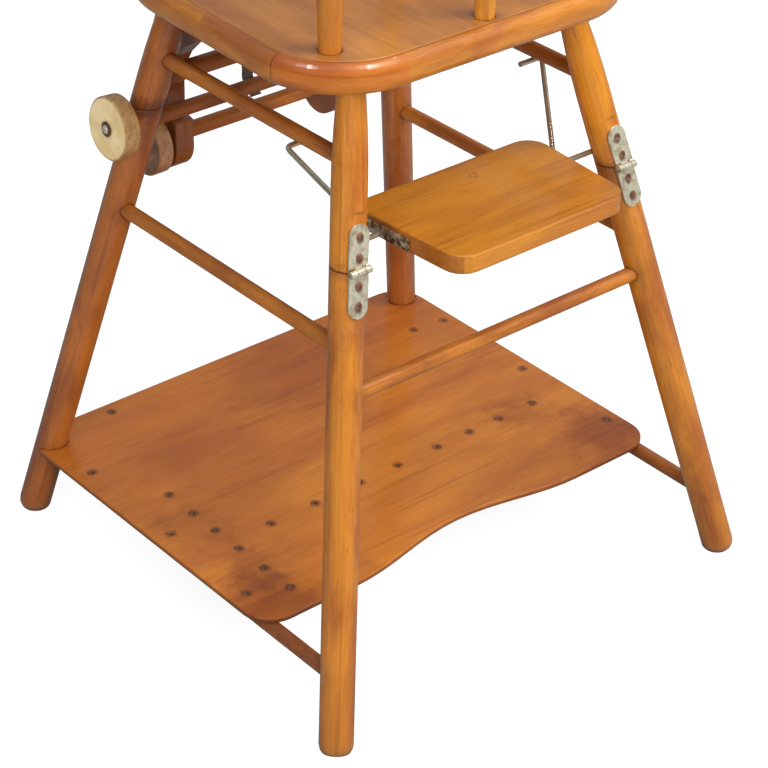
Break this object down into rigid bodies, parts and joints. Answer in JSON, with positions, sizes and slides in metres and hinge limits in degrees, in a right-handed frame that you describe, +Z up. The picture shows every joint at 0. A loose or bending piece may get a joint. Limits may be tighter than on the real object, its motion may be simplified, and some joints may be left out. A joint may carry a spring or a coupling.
{
  "type": "baby high chair",
  "caption": "Wooden high chair on splayed round legs, cut through and hinged below the seat, that folds into a low chair on wheels with a play table.",
  "frame": {"origin": "centre of the feet on the floor", "axes": "+Z up, -Y to the front, +X to the right of someone looking at the front"},
  "size_m": [0.513, 0.5079, 0.9291],
  "materials": {
    "varnished_beech": "gloss varnish",
    "seat_plywood": "gloss varnish",
    "shelf_plywood": "worn satin varnish",
    "wheel_wood": "bare, worn",
    "nickel_steel": "dull nickel plate",
    "rusty_steel": "rusted",
    "wire_steel": "tarnished"
  },
  "bodies": {
    "seat_frame": {"seat_rim": "varnished_beech", "seat_panel": "seat_plywood", "front_leg_upper_left": "varnished_beech", "front_leg_upper_right": "varnished_beech", "rear_leg_upper_left": "varnished_beech", "rear_leg_upper_right": "varnished_beech", "upper_side_rail_left": "varnished_beech", "upper_side_rail_right": "varnished_beech", "upper_rear_rail": "varnished_beech", "wheel_arm_left": "varnished_beech", "wheel_arm_right": "varnished_beech", "arm_cross_rail": "varnished_beech", "front_post_left": "varnished_beech", "front_post_right": "varnished_beech", "front_centre_post": "varnished_beech", "back_post_left": "varnished_beech", "back_post_right": "varnished_beech", "arm_hoop": "varnished_beech", "back_panel": "seat_plywood", "hinge_leaf_upper_left": "nickel_steel", "hinge_leaf_upper_right": "nickel_steel", "hinge_screw_upper_left_1": "rusty_steel", "hinge_screw_upper_left_2": "rusty_steel", "hinge_screw_upper_right_1": "rusty_steel", "hinge_screw_upper_right_2": "rusty_steel", "seat_wheel_axle_left": "nickel_steel", "seat_wheel_axle_right": "nickel_steel"},
    "lower_frame": {"front_leg_lower_left": "varnished_beech", "front_leg_lower_right": "varnished_beech", "rear_leg_lower_left": "varnished_beech", "rear_leg_lower_right": "varnished_beech", "lower_side_rail_left": "varnished_beech", "lower_side_rail_right": "varnished_beech", "front_rail": "varnished_beech", "lower_rear_rail": "varnished_beech", "shelf_rail_left": "varnished_beech", "shelf_rail_right": "varnished_beech", "shelf": "shelf_plywood", "shelf_batten": "varnished_beech", "hinge_leaf_lower_left": "nickel_steel", "hinge_leaf_lower_right": "nickel_steel", "hinge_pin_left": "nickel_steel", "hinge_pin_right": "nickel_steel", "hinge_screw_lower_left_1": "rusty_steel", "hinge_screw_lower_left_2": "rusty_steel", "hinge_screw_lower_right_1": "rusty_steel", "hinge_screw_lower_right_2": "rusty_steel", "table_wheel_axle_left": "nickel_steel", "table_wheel_axle_right": "nickel_steel"},
    "footrest": {"footrest_board": "varnished_beech", "footrest_plate_left": "rusty_steel", "footrest_plate_right": "rusty_steel", "footrest_wire_left": "wire_steel", "footrest_wire_right": "wire_steel"},
    "spring_catch": {"spring_catch": "wire_steel"},
    "seat_wheel_left": {"seat_wheel_left": "wheel_wood"},
    "seat_wheel_right": {"seat_wheel_right": "wheel_wood"},
    "table_wheel_left": {"table_wheel_left": "wheel_wood"},
    "table_wheel_right": {"table_wheel_right": "wheel_wood"}
  },
  "joints": [
    {"name": "fold", "type": "hinge", "parent": "seat_frame", "child": "lower_frame", "pos_m": [0, -0.15953, 0.4125], "axis": [-1, 0, 0], "range_deg": [0, 177.5]},
    {"name": "footrest_pivot", "type": "hinge", "parent": "seat_frame", "child": "footrest", "pos_m": [0, -0.1305, 0.421], "axis": [-1, 0, 0], "range_deg": [0, 82]},
    {"name": "catch_flex", "type": "hinge", "parent": "seat_frame", "child": "spring_catch", "pos_m": [0, 0.183, 0.562], "axis": [1, 0, 0], "range_deg": [0, 5], "stiffness_Nm_per_rad": 1.5, "springref_deg": -2.86},
    {"name": "table_wheel_spin_left", "type": "hinge", "parent": "lower_frame", "child": "table_wheel_left", "pos_m": [-0.18027, 0.15577, 0.43092], "axis": [-0.9976, 0, 0.0698], "continuous": true},
    {"name": "seat_wheel_spin_left", "type": "hinge", "parent": "seat_frame", "child": "seat_wheel_left", "pos_m": [-0.11725, 0.1955, 0.38], "axis": [-1, 0, 0], "continuous": true},
    {"name": "table_wheel_spin_right", "type": "hinge", "parent": "lower_frame", "child": "table_wheel_right", "pos_m": [0.18027, 0.15577, 0.43092], "axis": [0.9976, 0, 0.0698], "continuous": true},
    {"name": "seat_wheel_spin_right", "type": "hinge", "parent": "seat_frame", "child": "seat_wheel_right", "pos_m": [0.11725, 0.1955, 0.38], "axis": [1, 0, 0], "continuous": true}
  ]
}
